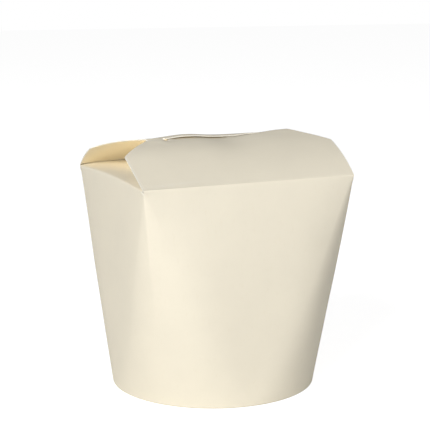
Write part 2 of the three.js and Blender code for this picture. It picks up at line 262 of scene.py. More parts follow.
def edge_stations(places, half, depth, out, along):
    """(crease places, wall places, foot angles) along one edge, from its first corner up to the next one."""
    out, along = np.array(out, float), np.array(along, float)
    panel_half = half - CORNER_REACH
    bent = np.clip((np.abs(places) * panel_half - (panel_half - SOFT_REACH)) / SOFT_REACH, 0, 1)
    arc = np.linspace(SOFT_TURN, math.pi / 4, HALF_TURN_COLUMNS + 1)[1:]  # how far the wall has turned
    round_corner = (np.tan(arc) - math.tan(SOFT_TURN)) / (1 - math.tan(SOFT_TURN))
    arc_crease = panel_half + CORNER_REACH * round_corner
    arc_wall = panel_half + MOUTH_CORNER * (np.sin(arc) - math.sin(SOFT_TURN))
    arc_sunk = SOFT_SUNK + MOUTH_CORNER * (math.cos(SOFT_TURN) - np.cos(arc))

    def both_ends(before, middle, sign):
        return np.concatenate([sign * before[::-1], middle, before[:-1]])

    crease_reach = both_ends(arc_crease, places * panel_half, -1)
    wall_reach = both_ends(arc_wall, places * panel_half, -1)
    sunk = both_ends(arc_sunk, SOFT_SUNK * bent**3, 1)
    turn = both_ends(arc, np.sign(places) * SOFT_TURN * bent**2, -1)
    spread = PANEL_SPREAD * np.clip(crease_reach / panel_half, -1, 1)
    angle = math.atan2(out[1], out[0]) - spread - turn * (1 - PANEL_SPREAD / (math.pi / 4))
    creases = crease_reach[:, None] * along + depth * out
    return creases, wall_reach[:, None] * along + (depth - sunk)[:, None] * out, angle


print(f"a panel's wall is drawn in by {SOFT_SUNK:.2f} mm before its corner")

# %% Stations round the mouth, from the seam clockwise as seen from above
FLAP_COLUMNS, SIDE_COLUMNS, OVERLAP_COLUMNS = 84, 60, 8
flat_x = HALF_WIDTH - CORNER_REACH
tongue_mark = TONGUE_HALF_WIDTH / EAR_HALF_WIDTH * ROOT_HALF / flat_x
slit_mark = SLIT_HALF_WIDTH / float(back_half_width(LIP_RUN)) * ROOT_HALF / flat_x
back_places, front_places = (edge_places(FLAP_COLUMNS, mark) for mark in (slit_mark, tongue_mark))
side_places = edge_places(SIDE_COLUMNS)
edges = {
    "back": edge_stations(back_places, HALF_WIDTH, HALF_DEPTH, out=(0, 1), along=(1, 0)),
    "right": edge_stations(side_places, HALF_DEPTH, HALF_WIDTH, out=(1, 0), along=(0, -1)),
    "front": edge_stations(front_places, HALF_WIDTH, HALF_DEPTH, out=(0, -1), along=(-1, 0)),
    "left": edge_stations(side_places, HALF_DEPTH, HALF_WIDTH, out=(-1, 0), along=(0, 1)),
}
crease_xy, wall_xy, foot_angle = (np.concatenate(arrays) for arrays in zip(*edges.values()))
foot_angle = np.unwrap(foot_angle)
SEAM_ANGLE = foot_angle[0]
lap = slice(0, OVERLAP_COLUMNS + 1)  # the blank's inner end runs on under its outer end
crease_xy, wall_xy = (np.concatenate([xy, xy[lap]]) for xy in (crease_xy, wall_xy))
foot_angle = np.concatenate([foot_angle, foot_angle[lap] - 2 * math.pi])
print(len(foot_angle), "stations")

# %% The stations that each flap is rooted on
SIDE_FLAP_SETBACK = 1.5  # from each corner of the mouth to the side flap's root
SIDE_ROOT_HALF = HALF_DEPTH - SIDE_FLAP_SETBACK
roots, first = {}, 0
for name, (creases, _, _) in edges.items():
    across, root_half = (0, ROOT_HALF) if name in ("front", "back") else (1, SIDE_ROOT_HALF)
    inside = first + np.flatnonzero(np.abs(creases[:, across]) <= root_half)
    roots[name] = slice(inside[0], inside[-1] + 1)
    first += len(creases)
print("flap roots:", {name: (s.start, s.stop) for name, s in roots.items()})

# %% [markdown]
# The mouth's rim isn't level. It stops just below each crease, at the height where the fold starts to turn, and
# the creases themselves bow: the front one rises a little to the right, and the side ones arch up in their
# middles, where the level flap under the roof pushes them out. At each corner a small notch is cut, so that the
# two creases that meet there can fold without tearing.

# %% Heights of the mouth's rim
ROOF_TURN = math.radians(47.5)  # from the wall round to the first slope of the front and back flaps
SIDE_TURN = math.radians(83)
SIDE_CREASE_ENDS, SIDE_CREASE_CROWN = 0.35, 1.7  # how far the side creases lie above the corners


def fold_start(turn):
    return FOLD_RADIUS * math.tan(turn / 2)


def side_bow(y, half):
    return np.cos(np.clip(y / half, -1, 1) * math.pi / 2)


def rim_rise():
    """How far the rim lies above the corners at every station; between the flaps it runs straight across."""
    rise = np.full(len(crease_xy), np.nan)
    for name, flap in (("front", FRONT_FLAP), ("back", BACK_FLAP)):
        x = crease_xy[roots[name], 0]
        rise[roots[name]] = twisted(flap, x, 0) - fold_start(ROOF_TURN)
    for name in ("left", "right"):
        y = crease_xy[roots[name], 1]
        crease = mix(SIDE_CREASE_ENDS, SIDE_CREASE_CROWN, side_bow(y, SIDE_ROOT_HALF))
        rise[roots[name]] = crease - fold_start(SIDE_TURN)
    known = ~np.isnan(rise)
    length = np.cumsum(np.linalg.norm(np.diff(crease_xy, axis=0, prepend=crease_xy[:1]), axis=1))
    start = np.flatnonzero(known)[0]
    rise[:start] = np.linspace(rise[roots["left"]][-1], rise[start], 2 * start + 1)[start:-1]
    known[:start] = True
    rise[-OVERLAP_COLUMNS - 1:] = rise[lap]
    known[-OVERLAP_COLUMNS - 1:] = True
    return np.interp(length, length[known], rise[known])


# %% The rims that the wall is drawn between
NOTCH_DEPTH, NOTCH_REACH = 1.2, 0.9
SHOULDER = 2.6  # how far below the creases the wall's round corner starts to flare out to their sharp one
FOOT_ROUNDING = 0.9


def from_corner(places):
    return np.hypot(HALF_WIDTH - np.abs(places[:, 0]), HALF_DEPTH - np.abs(places[:, 1]))


notch = NOTCH_DEPTH * np.exp(-((from_corner(crease_xy) / NOTCH_REACH) ** 4))
rim_xy = mix(wall_xy, crease_xy, (1 - notch / SHOULDER)[:, None] ** 2)
crease_rim = np.column_stack([rim_xy, WALL_HEIGHT + rim_rise() - notch])
wall_rim = np.column_stack([wall_xy, crease_rim[:, 2]])
foot_circle = np.column_stack([np.cos(foot_angle), np.sin(foot_angle)])
foot_rim = np.column_stack([FOOT_RADIUS * foot_circle, np.full(len(foot_angle), FOOT_ROUNDING)])
shoulder_rim = mix(wall_rim, foot_rim, SHOULDER / WALL_HEIGHT)
print(f"crease rim from {crease_rim[:, 2].min():.2f} to {crease_rim[:, 2].max():.2f} mm high")

# %% [markdown]
# ## The sleeve wall, by Geometry Nodes
# The wall could be modelled by hand from a cylinder, but its whole shape follows one rule: a straight line
# between two rims. A node tree states that rule once and can be fed other rims. It takes the two rims as
# objects, makes a grid with one column for each rim point, and places every grid point between its pair. Real
# board is never quite even, so the tree adds a ripple of a few hundredths of a millimetre that dies out
# at both rims. The last few rows, where the round corners flare out to the creases, are added by a short
# formula.


# %% Small helpers for node trees
def new_tree(name, **kinds):
    """A node tree and the sockets of its inputs, which are named here with _ for a space."""
    tree = bpy.data.node_groups.new(name, "GeometryNodeTree")
    tree.interface.new_socket("Geometry", in_out="OUTPUT", socket_type="NodeSocketGeometry")
    for key, kind in kinds.items():
        tree.interface.new_socket(key.replace("_", " "), in_out="INPUT", socket_type="NodeSocket" + kind)
    return tree, tree.nodes.new("NodeGroupInput").outputs[:len(kinds)]


def node(tree, kind, settings=None, gives=0, **inputs):
    """Adds a node and returns its first output, or the one that gives names. An input is a value or the
    socket that feeds it; it is called by its name, with _ for a space, or by its number, as i0 or i1."""
    made = tree.nodes.new(kind)
    for key, value in (settings or {}).items():
        setattr(made, key, value)
    for key, value in inputs.items():
        by_number = key[0] == "i" and key[1:].isdigit()
        slot = made.inputs[int(key[1:]) if by_number else key.replace("_", " ")]
        if isinstance(value, bpy.types.NodeSocket):
            tree.links.new(value, slot)
        else:
            slot.default_value = value
    return made.outputs[gives]


def math_node(tree, operation, a, b=0.0):
    return node(tree, "ShaderNodeMath", {"operation": operation}, i0=a, i1=b)


def finish_tree(tree, geometry, material):
    """Ends a tree: its copies are made real, and all of it gets a material."""
    real = node(tree, "GeometryNodeRealizeInstances", Geometry=geometry)
    finished = node(tree, "GeometryNodeSetMaterial", Geometry=real, Material=material)
    tree.links.new(finished, tree.nodes.new("NodeGroupOutput").inputs[0])
    return tree


def new_object(name, data):
    made = bpy.data.objects.new(name, data)
    bpy.context.scene.collection.objects.link(made)
    return made


def evaluated_mesh(piece):
    """The plain mesh that an object's modifiers make."""
    graph = bpy.context.evaluated_depsgraph_get()
    return bpy.data.meshes.new_from_object(piece.evaluated_get(graph))


def as_mesh(tree, name, **values):
    """Runs a tree on an empty object with its inputs set, and gives back the plain mesh that it makes."""
    host = new_object(name, bpy.data.meshes.new(name + "_host"))
    modifier = host.modifiers.new(tree.name, "NODES")
    modifier.node_group = tree
    for item in tree.interface.items_tree:
        if item.in_out == "INPUT" and item.name.replace(" ", "_") in values:
            modifier[item.identifier] = values[item.name.replace(" ", "_")]
    mesh = evaluated_mesh(host)
    bpy.data.objects.remove(host)
    return mesh


# %% A tree that draws straight lines between two rims
def build_sleeve_tree():
    tree, (foot, mouth, rows, ripple_height, ripple_size, board) = new_tree(
        "Sleeve Between Rims", Foot_Rim="Object", Mouth_Rim="Object", Rows="Int",
        Ripple_Height="Float", Ripple_Size="Float", Board="Material")
    rims = [node(tree, "GeometryNodeObjectInfo", gives="Geometry", i0=rim) for rim in (foot, mouth)]
    count = node(tree, "GeometryNodeAttributeDomainSize", gives="Point Count", Geometry=rims[0])
    grid = node(tree, "GeometryNodeMeshGrid", Vertices_X=count, Vertices_Y=rows)

    index = node(tree, "GeometryNodeInputIndex")
    column = math_node(tree, "FLOOR", math_node(tree, "DIVIDE", math_node(tree, "ADD", index, 0.5), rows))
    row = math_node(tree, "SUBTRACT", index, math_node(tree, "MULTIPLY", column, rows))
    share = math_node(tree, "DIVIDE", row, math_node(tree, "SUBTRACT", rows, 1.0))
    position = node(tree, "GeometryNodeInputPosition")
    ends = [node(tree, "GeometryNodeSampleIndex", {"data_type": "FLOAT_VECTOR", "domain": "POINT"},
                 gives="Value", Geometry=rim, Value=position, Index=column) for rim in rims]
    between = node(tree, "ShaderNodeMix", {"data_type": "VECTOR"}, gives=1, i0=share, i4=ends[0], i5=ends[1])
    lofted = node(tree, "GeometryNodeSetPosition", Geometry=grid, Position=between)

    noise = node(tree, "ShaderNodeTexNoise", Vector=position, Detail=1.0,
                 Scale=math_node(tree, "DIVIDE", 1.0, ripple_size))
    centred = math_node(tree, "SUBTRACT", noise, 0.5)
    inside = math_node(tree, "MULTIPLY", share, math_node(tree, "SUBTRACT", 1.0, share))
    fade = math_node(tree, "MULTIPLY", inside, 8.0)  # so that the ripple is at most its given height
    height = math_node(tree, "MULTIPLY", math_node(tree, "MULTIPLY", centred, fade), ripple_height)
    normal = node(tree, "GeometryNodeInputNormal")
    offset = node(tree, "ShaderNodeVectorMath", {"operation": "SCALE"}, i0=normal, Scale=height)
    rippled = node(tree, "GeometryNodeSetPosition", Geometry=lofted, Offset=offset)
    return finish_tree(tree, rippled, board)


sleeve_tree = build_sleeve_tree()
print("sleeve tree:", len(sleeve_tree.nodes), "nodes")

# %% Draw the wall, and the neck above it
WALL_ROWS, NECK_ROWS = 27, 5
RIPPLE_HEIGHT, RIPPLE_SIZE = 0.12, 28


def rim_object(name, points):
    mesh = bpy.data.meshes.new(name)
    mesh.from_pydata(points * MM, [(i, i + 1) for i in range(len(points) - 1)], [])
    return new_object(name, mesh)


rims = {"Foot_Rim": rim_object("foot_rim", foot_rim), "Mouth_Rim": rim_object("mouth_rim", shoulder_rim)}
wall_mesh = as_mesh(sleeve_tree, "sleeve", Rows=WALL_ROWS, Ripple_Height=RIPPLE_HEIGHT * MM,
                    Ripple_Size=RIPPLE_SIZE * MM, **rims)
wall = np.array([v.co for v in wall_mesh.vertices]).reshape(len(foot_rim), WALL_ROWS, 3) / MM
for rim in rims.values():
    bpy.data.objects.remove(rim)
shares = np.linspace(0, 1, NECK_ROWS + 1)[1:]
neck = np.stack([mix(shoulder_rim, wall_rim, t) + (crease_rim - wall_rim) * t**2 for t in shares], axis=1)
print("wall grid:", wall.shape, "neck grid:", neck.shape)

# %% [markdown]
# ## The hem at the foot
# At the foot the board turns under with a small round, and goes up again inside, where it grips the skirt of
# the base disc. So the wall's columns simply go on: round the turn, then up inside.

# %% Hem rows under the wall
RECESS_RADIUS = FOOT_RADIUS - 2 * FOOT_ROUNDING
HEM_TOP = 5.9
HEM_TURN_ROWS, HEM_ROWS = 8, 6
hem_turn = np.radians(np.linspace(0, 180, HEM_TURN_ROWS + 1))[1:]
turn_radius = FOOT_RADIUS - FOOT_ROUNDING * (1 - np.cos(hem_turn))
turn_height = FOOT_ROUNDING * (1 - np.sin(hem_turn))
hem = np.empty((len(foot_angle), HEM_TURN_ROWS + HEM_ROWS, 3))
hem[..., :2] = foot_circle[:, None] * np.append(turn_radius, [RECESS_RADIUS] * HEM_ROWS)[:, None]
hem[..., 2] = np.append(turn_height, np.linspace(FOOT_ROUNDING, HEM_TOP, HEM_ROWS + 1)[1:])
sleeve = np.concatenate([hem[:, ::-1], wall, neck], axis=1)
print(f"hem up to {HEM_TOP} mm inside a foot {2 * FOOT_ROUNDING:.1f} mm wide")

# %% [markdown]
# ## Bulged panels
# Straight lines would leave each panel perfectly flat between its two cones. Real board is too stiff to stop
# bending so suddenly, so a panel that is bent round a foot swells outwards a little in its middle, and its
# cones start softly. The swelling is nothing at the creases, at the foot and along the middle of each cone,
# and the narrow side panels hardly swell at all.

# %% Where each point of the wall lies on its panel
outside = slice(hem.shape[1], None)
steps_round = np.diff(sleeve[:, outside], axis=0, prepend=sleeve[:1, outside])
places_round = np.cumsum(np.linalg.norm(steps_round, axis=2), axis=0)
corner_columns = np.cumsum([0] + [len(creases) for creases, _, _ in edges.values()])
panel_share = np.stack([np.interp(row, row[corner_columns], np.arange(len(corner_columns)))
                        for row in places_round.T], axis=1)
panel_share[-OVERLAP_COLUMNS - 1:] = panel_share[lap]
level = np.clip((sleeve[:, outside, 2] - FOOT_ROUNDING) / (crease_rim[:, 2:] - FOOT_ROUNDING), 0, 1)
is_side_panel = panel_share.astype(int) % 2
from_middle = np.abs(2 * (panel_share % 1) - 1)
print(f"corners at columns {corner_columns}, {100 * is_side_panel.mean():.0f}% of the points on side panels")

# %% Swell the four panels
PANEL_SWELL, SIDE_SWELL = 2.8, 0.4  # the most that a panel stands out
SWELL_SPREAD = 2.2  # how far the swelling reaches towards a panel's two sides
up_the_panel = 5.6 * level**1.5 * (1 - level)  # about 1 at its highest, three fifths of the way up
over_the_panel = up_the_panel * np.cos(math.pi / 2 * from_middle**SWELL_SPREAD) ** 2
swell = mix(PANEL_SWELL, SIDE_SWELL, is_side_panel) * over_the_panel
print(f"panels swell by up to {swell.max():.2f} mm")

# %% [markdown]
# When the roof is shut, the last bit of bending is forced into the wall just beside each corner. It leaves a
# faint fold in the cone there, on the side panel's side, that starts under the corner and dies out halfway
# down.

# %% Raise a faint fold below each corner
FOLD_ANGLE = math.radians(39)  # round the foot, from the middle of a side panel
FOLD_WIDTH, FOLD_HEIGHT = math.radians(9), 0.55
FOLD_LEVELS = (0.3, 0.6)  # share of the wall's height where it starts to show, and where it is whole
FOLD_TOP = 0.15  # share of the wall's height over which it rises again from under the corner
from_side = np.abs((foot_angle + math.pi / 2) % math.pi - math.pi / 2)
fold_height = FOLD_HEIGHT * (1 - np.exp((level - 1) / FOLD_TOP)) * ramp(level, *FOLD_LEVELS)
fold = fold_height * np.exp(-np.abs(from_side - FOLD_ANGLE) / FOLD_WIDTH)[:, None]
sleeve[:, outside, :2] += (swell + fold)[..., None] * foot_circle[:, None]
print(f"folds stand out by up to {fold.max():.2f} mm")

# %% [markdown]
# ## The glued seam
# One end of the blank lies on the other. The end underneath has to step inwards by the thickness of the board,
# and it does so over a few millimetres, which leaves a soft valley beside a crisp cut edge. The step fades out
# just under the mouth, where the corner is too tight for it.

# %% Step the inner end of the blank under the outer end
SEAM_STEP = BOARD + 0.08  # with a little air for the glue
SEAM_VALLEY = math.radians(13)  # how far round the foot the step takes
SEAM_FADE = (2.5, 14)  # below the mouth, from where it starts to where it is whole


def column_normals(grid):
    """Unit normals of a grid of columns, each (rows, 3), all on the same side of it."""
    around, up = np.gradient(grid, axis=0), np.gradient(grid, axis=1)
    normal = np.cross(up, around)
    return normal / np.linalg.norm(normal, axis=2, keepdims=True)


to_seam = foot_angle - (SEAM_ANGLE - 2 * math.pi)  # left to go round the foot, up to the outer end
below_mouth = ramp(WALL_HEIGHT - sleeve[..., 2], *SEAM_FADE)
inward = SEAM_STEP * ramp(-to_seam, -SEAM_VALLEY, 0)[:, None] * below_mouth
normals = column_normals(sleeve)
on_wall = (len(back_places) // 2, -10)  # any place well up the wall tells which side the normals are on
facing = np.sign(np.sum(normals[on_wall] * sleeve[on_wall] * [1, 1, 0]))
sleeve -= facing * normals * inward[..., None]
print(f"seam at {math.degrees(SEAM_ANGLE):.0f} degrees round the foot, step {SEAM_STEP:.2f} mm")

# %% [markdown]
# ## The flaps
# Each flap starts as the mouth's rim, turns round its crease, and goes on as rows of points along its run. The
# front flap keeps only its tongue past the ears, and the back flap loses the cells of its slit. The side flaps
# lie almost level underneath, arched along their creases, and almost meet in the middle of the box.

# %% Rows of the front and back flaps
FOLD_STEPS = 6  # round a crease
ROOF_ROW, SIDE_ROW = 0.9, 1.6  # space between rows
ROOF_STOPS, SIDE_STOPS = (0.32, 3), (3, 10)  # runs just past a crease that get a row
TONGUE_STOP = 40.5  # and the run of a row on the tongue, just before it goes under the lip


def fold_rows(lift, turn):
    """(run, rise) of each row round a crease, after the rim's own row."""
    angles = np.linspace(0, turn, FOLD_STEPS + 1)[1:-1]
    foot = lift - fold_start(turn)
    return [(FOLD_RADIUS * (1 - math.cos(a)), foot + FOLD_RADIUS * math.sin(a)) for a in angles]


def flap_shares(name):
    """Where each column of a roof flap lies across it, from -1 to 1."""
    x = crease_xy[roots[name], 0]
    return x / np.abs(x).max()


def roof_flap(name, flap, half_of, rise_of, runs):
    """Points (columns, rows, 3) of a roof flap; half_of gives half its width and rise_of its height."""
    root = crease_xy[roots[name], 0]
    out = np.sign(crease_xy[roots[name].start, 1])
    rows = [crease_rim[roots[name]]]
    for run, rise in fold_rows(twisted(flap, root, 0), ROOF_TURN):
        rows.append(np.column_stack([root, np.full_like(root, out * (HALF_DEPTH - run)), WALL_HEIGHT + rise]))
    for run in runs:
        x = flap_shares(name) * half_of(run)
        rise = rise_of(x, np.full_like(x, run))
        rows.append(np.column_stack([x, np.full_like(x, out * (HALF_DEPTH - run)), WALL_HEIGHT + rise]))
    return np.stack(rows, axis=1)


def runs_through(*stops, spacing=ROOF_ROW):
    """Even rows between stops, each stop included once."""
    runs = [stops[0]]
    for a, b in zip(stops, stops[1:]):
        runs.extend(np.linspace(a, b, max(2, round((b - a) / spacing) + 1))[1:])
    return np.array(runs)


front_runs = runs_through(*ROOF_STOPS, FRONT_CHAMFER_RUN, CREST_RUN, EAR_RUN, TONGUE_STOP, TONGUE_RUN)
back_runs = runs_through(*ROOF_STOPS, BACK_CHAMFER_RUN, LIP_RUN, SLIT_RUN, BACK_FLAP_RUN)
front_flap = roof_flap("front", FRONT_FLAP, front_half_width, front_rise, front_runs)
back_flap = roof_flap("back", BACK_FLAP, back_half_width, back_rise, back_runs)
print("front flap", front_flap.shape, "back flap", back_flap.shape)

# %% Cells to keep: the tongue past the ears, and the board round the slit
TINY = 1e-6  # so that a row at a cut counts as past it


def cell_middles(name):
    shares = flap_shares(name)
    return (shares[1:] + shares[:-1]) / 2


def all_cells(grid):
    return np.ones((grid.shape[0] - 1, grid.shape[1] - 1), bool)


front_keep, back_keep = all_cells(front_flap), all_cells(back_flap)
past_ears = FOLD_STEPS + np.flatnonzero(front_runs >= EAR_RUN - TINY)[0]
beside_tongue = np.abs(cell_middles("front")) > TONGUE_HALF_WIDTH / EAR_HALF_WIDTH
front_keep[np.ix_(beside_tongue, np.arange(past_ears, front_keep.shape[1]))] = False
slit_rows = FOLD_STEPS + np.flatnonzero((back_runs >= LIP_RUN - TINY) & (back_runs < SLIT_RUN - TINY))
in_slit = np.abs(cell_middles("back")) < SLIT_HALF_WIDTH / back_half_width(LIP_RUN)
back_keep[np.ix_(in_slit, slit_rows)] = False
print(f"slit {in_slit.sum()} columns wide, tongue {np.sum(~beside_tongue)} columns wide")

# %% Rows of the side flaps
SIDE_FLAP_RUN, SIDE_FLAP_ROUNDING = 46.0, 9.0
SIDE_FLAP_TAPER = 0.068  # lost on each side for each millimetre of run
ENDS_RISE, ENDS_REACH = 1.62, 7  # how far its two long sides climb past the crease, and how soon
CROWN_RISE, CROWN_REACH = 0.9, 10  # the same for its middle


def climbed(past_fold, reach):
    return 1 - math.exp(-past_fold / reach)


def side_flap(name):
    """Points (columns, rows, 3) of a side flap, which is a low arch from one long side to the other."""
    root = crease_xy[roots[name], 1]
    share = root / SIDE_ROOT_HALF
    bow = side_bow(share, 1)
    crease = mix(SIDE_CREASE_ENDS, SIDE_CREASE_CROWN, bow)
    rows = [crease_rim[roots[name]]]

    def add_row(run, y, rise):
        x = np.sign(rows[0][0, 0]) * (HALF_WIDTH - run)
        rows.append(np.column_stack([np.full_like(y, x), y, WALL_HEIGHT + rise]))

    for run, rise in fold_rows(crease, SIDE_TURN):
        add_row(run, root, rise)
    fold_end = FOLD_RADIUS * (1 - math.cos(SIDE_TURN))
    fold_top = FOLD_RADIUS * math.sin(SIDE_TURN) - fold_start(SIDE_TURN)
    for run in runs_through(fold_end, *SIDE_STOPS, SIDE_FLAP_RUN, spacing=SIDE_ROW):
        into_round = max(0, run - (SIDE_FLAP_RUN - SIDE_FLAP_ROUNDING)) / SIDE_FLAP_ROUNDING
        corner = SIDE_FLAP_ROUNDING * (1 - math.sqrt(max(0, 1 - into_round**2)))
        half = SIDE_ROOT_HALF - SIDE_FLAP_TAPER * (run - fold_end) - corner
        ends = SIDE_CREASE_ENDS + ENDS_RISE * climbed(run - fold_end, ENDS_REACH)
        crown = SIDE_CREASE_CROWN + CROWN_RISE * climbed(run - fold_end, CROWN_REACH)
        add_row(run, share * half, mix(ends, crown, bow) + fold_top)
    return np.stack(rows, axis=1)


side_flaps = {name: side_flap(name) for name in ("left", "right")}
print("side flaps", side_flaps["left"].shape, f"gap between them {2 * (HALF_WIDTH - SIDE_FLAP_RUN):.1f} mm")

# %% [markdown]
# ## One board
# All of these grids are the outer face of one sheet. They are put in one mesh, welded where a flap's first row
# is the sleeve's top row, and only then given their thickness, so a crease is a real bend in the board and not
# two plates that touch. Just under the mouth the overlap is left out, because there the two ends of the blank
# are one board thick.

# %% Weld the grids into one open sheet
WELD = 0.002  # points nearer to each other than this become one
LAP_TOP = 12  # the overlap ends this far below the mouth


def add_grid(mesh, grid, keep):
    verts = [[mesh.verts.new(point * MM) for point in column] for column in grid]
    for c, r in np.argwhere(keep):
        mesh.faces.new((verts[c][r], verts[c][r + 1], verts[c + 1][r + 1], verts[c + 1][r]))


sleeve_keep = all_cells(sleeve)
past_seam = to_seam[:-1] < TINY
near_mouth = sleeve[-1, 1:, 2] > WALL_HEIGHT - LAP_TOP
sleeve_keep[np.ix_(past_seam, near_mouth)] = False

sheet = bmesh.new()
add_grid(sheet, sleeve, sleeve_keep)
add_grid(sheet, front_flap, front_keep)
add_grid(sheet, back_flap, back_keep)
for flap in side_flaps.values():
    add_grid(sheet, flap, all_cells(flap))
bmesh.ops.remove_doubles(sheet, verts=sheet.verts, dist=WELD * MM)
bmesh.ops.delete(sheet, geom=[v for v in sheet.verts if not v.link_faces], context="VERTS")
sheet.normal_update()
in_front = Vector((0, -45, 50)) * MM
front_face = min(sheet.faces, key=lambda face: (face.calc_center_median() - in_front).length)
if front_face.normal.y > 0:
    bmesh.ops.reverse_faces(sheet, faces=sheet.faces)
print("sheet:", len(sheet.verts), "points,", len(sheet.faces), "cells,",
      sum(e.is_boundary for e in sheet.edges), "cut edges")

# %% [markdown]
# A crease shows on board as a slightly paler, polished line, because the coating is stretched there. Right
# beside a cut edge the faces are painted paler as well, a painted highlight that widens the thin lit edge. How
# near every point is to a crease and to a cut edge is kept on the mesh as two attributes, so the finish can find
# them.

# %% Measure how near each point is to a cut edge, and make the sheet a mesh
# how far the paler crease and the painted highlight beside a cut edge reach, in mm
CREASE_FADE, CUT_FADE = 0.7, 0.35
NOTCH_SHADE = 2.0  # neither the paler crease nor the painted highlight beside a cut edge comes this near to the notches at the corners
cut_points = [v for v in sheet.verts if v.is_boundary]
cut_tree = KDTree(len(cut_points))
for v in cut_points:
    cut_tree.insert(v.co, v.index)
cut_tree.balance()
cut = np.exp([-cut_tree.find(v.co)[2] / (CUT_FADE * MM) for v in sheet.verts])
sheet_mesh = bpy.data.meshes.new("carton_board")
sheet.to_mesh(sheet_mesh)
sheet.free()
print(len(cut_points), "points on cut edges")

# %% Measure how near each point is to a crease, and keep both
places = np.array([v.co for v in sheet_mesh.vertices]) / MM
front_lifts = [FRONT_FLAP[side]["lift"] for side in ("left", "right")]
long_crease = np.interp(places[:, 0], [-HALF_WIDTH, HALF_WIDTH], front_lifts)
side_crease = mix(SIDE_CREASE_ENDS, SIDE_CREASE_CROWN, side_bow(places[:, 1], SIDE_ROOT_HALF))
to_long = np.hypot(HALF_DEPTH - np.abs(places[:, 1]), places[:, 2] - WALL_HEIGHT - long_crease)
to_side = np.hypot(HALF_WIDTH - np.abs(places[:, 0]), places[:, 2] - WALL_HEIGHT - side_crease)
crease = np.exp(-np.minimum(to_long, to_side) / CREASE_FADE)
# near the notches the board keeps its plain colour, without paler crease or painted highlight
pale_away_from_notches = 1 - np.exp(-((from_corner(places) / NOTCH_SHADE) ** 2))
for name, nearness in (("crease", crease * pale_away_from_notches), ("cut", cut * pale_away_from_notches)):
    attribute = sheet_mesh.attributes.new(name, "FLOAT", "POINT")
    attribute.data.foreach_set("value", nearness.astype(np.float32))
print(np.sum(crease > 0.5), "points at creases")

# %% [markdown]
# Solidify grows the board inwards from its outer face, with an even thickness through every bend. It also gives
# the inner face and the cut edges finishes of their own, because the three look different on real board.

# %% Give the board its thickness and its three finishes
carton = new_object("carton_board", sheet_mesh)
OUTER_FACE, INNER_FACE, CUT_EDGE = 0, 1, 2
finishes = [bpy.data.materials.new(name) for name in ("board_outer", "board_inner", "board_cut_edge")]
for finish in finishes:
    sheet_mesh.materials.append(finish)
thicken = carton.modifiers.new("thickness", "SOLIDIFY")
thicken.thickness = BOARD * MM
thicken.offset = -1
thicken.use_even_offset = True
thicken.thickness_clamp = 0
thicken.material_offset = INNER_FACE
thicken.material_offset_rim = CUT_EDGE


def smooth_below(piece, degrees):
    piece.data.shade_smooth()
    piece.data.set_sharp_from_angle(angle=math.radians(degrees))


def closed_report(piece):
    check = bmesh.new()
    check.from_mesh(piece.data)
    loose = sum(not e.is_manifold for e in check.edges)
    triangles = sum(len(f.verts) - 2 for f in check.faces)
    volume = check.calc_volume(signed=True) / MM**3
    check.free()
    print(f"{piece.name}: {triangles} triangles, {loose} open edges, {volume:.0f} cubic mm of board")


thick_mesh = evaluated_mesh(carton)
carton.modifiers.clear()
carton.data = thick_mesh
smooth_below(carton, 40)
closed_report(carton)

# %% [markdown]
# ## The base disc
# The foot is closed by a disc of the same board, pressed in a die so that its rim turns down as a skirt between
# the wall and the hem. It is a turned shape, so its section is drawn once and spun round the axis.

# %% Draw the disc's section
DISC_UNDERSIDE = 6.2
SKIRT_RADIUS = RECESS_RADIUS + BOARD + 0.05  # just outside the hem
SKIRT_BOTTOM, SKIRT_ROUND = 1.7, 0.7
ROUND_POINTS, FLAT_POINTS = 7, 14


def disc_section():
    """(radius, height) points from the axis out along the underside, round the skirt and back on top."""
    turn = np.radians(np.linspace(90, 0, ROUND_POINTS))
    middle, centre = SKIRT_RADIUS - SKIRT_ROUND, DISC_UNDERSIDE - SKIRT_ROUND

    def rounded(radius, angles):
        return [(middle + radius * math.cos(a), centre + radius * math.sin(a)) for a in angles]

    flat = [(r, DISC_UNDERSIDE) for r in np.linspace(0, middle, FLAT_POINTS)[:-1]]
    top = [(r, DISC_UNDERSIDE + BOARD) for r in np.linspace(middle, 0, FLAT_POINTS)[1:]]
    skirt = [(SKIRT_RADIUS, SKIRT_BOTTOM), (SKIRT_RADIUS + BOARD, SKIRT_BOTTOM)]
    return flat + rounded(SKIRT_ROUND, turn) + skirt + rounded(SKIRT_ROUND + BOARD, turn[::-1]) + top


# %% Spin it round the axis
def spun(name, section, steps=144):
    """A closed solid from a section that starts and ends on the axis."""
    mesh = bmesh.new()
    angles = [2 * math.pi * i / steps for i in range(steps)]
    rings = []
    for radius, height in section:
        circle = [(radius * math.cos(a), radius * math.sin(a)) for a in (angles if radius else [0])]
        ring = [mesh.verts.new((x * MM, y * MM, height * MM)) for x, y in circle]
        rings.append(ring if radius else ring * steps)
    for low, high in zip(rings, rings[1:]):
        for i in range(steps):
            corners = dict.fromkeys((low[i], low[(i + 1) % steps], high[(i + 1) % steps], high[i]))
            mesh.faces.new(tuple(corners))
    bmesh.ops.recalc_face_normals(mesh, faces=mesh.faces)
    data = bpy.data.meshes.new(name)
    mesh.to_mesh(data)
    mesh.free()
    return new_object(name, data)


disc = spun("base_disc_board", disc_section())
smooth_below(disc, 40)
closed_report(disc)

# %% [markdown]
# ## Press marks inside the foot
# A toothed wheel presses the hem onto the skirt while the glue sets, and leaves a ring of short upright marks
# inside the foot. They repeat, so a node tree sets one small rounded mark on each point of a ring, with a
# little seeded unevenness, and makes the copies real.


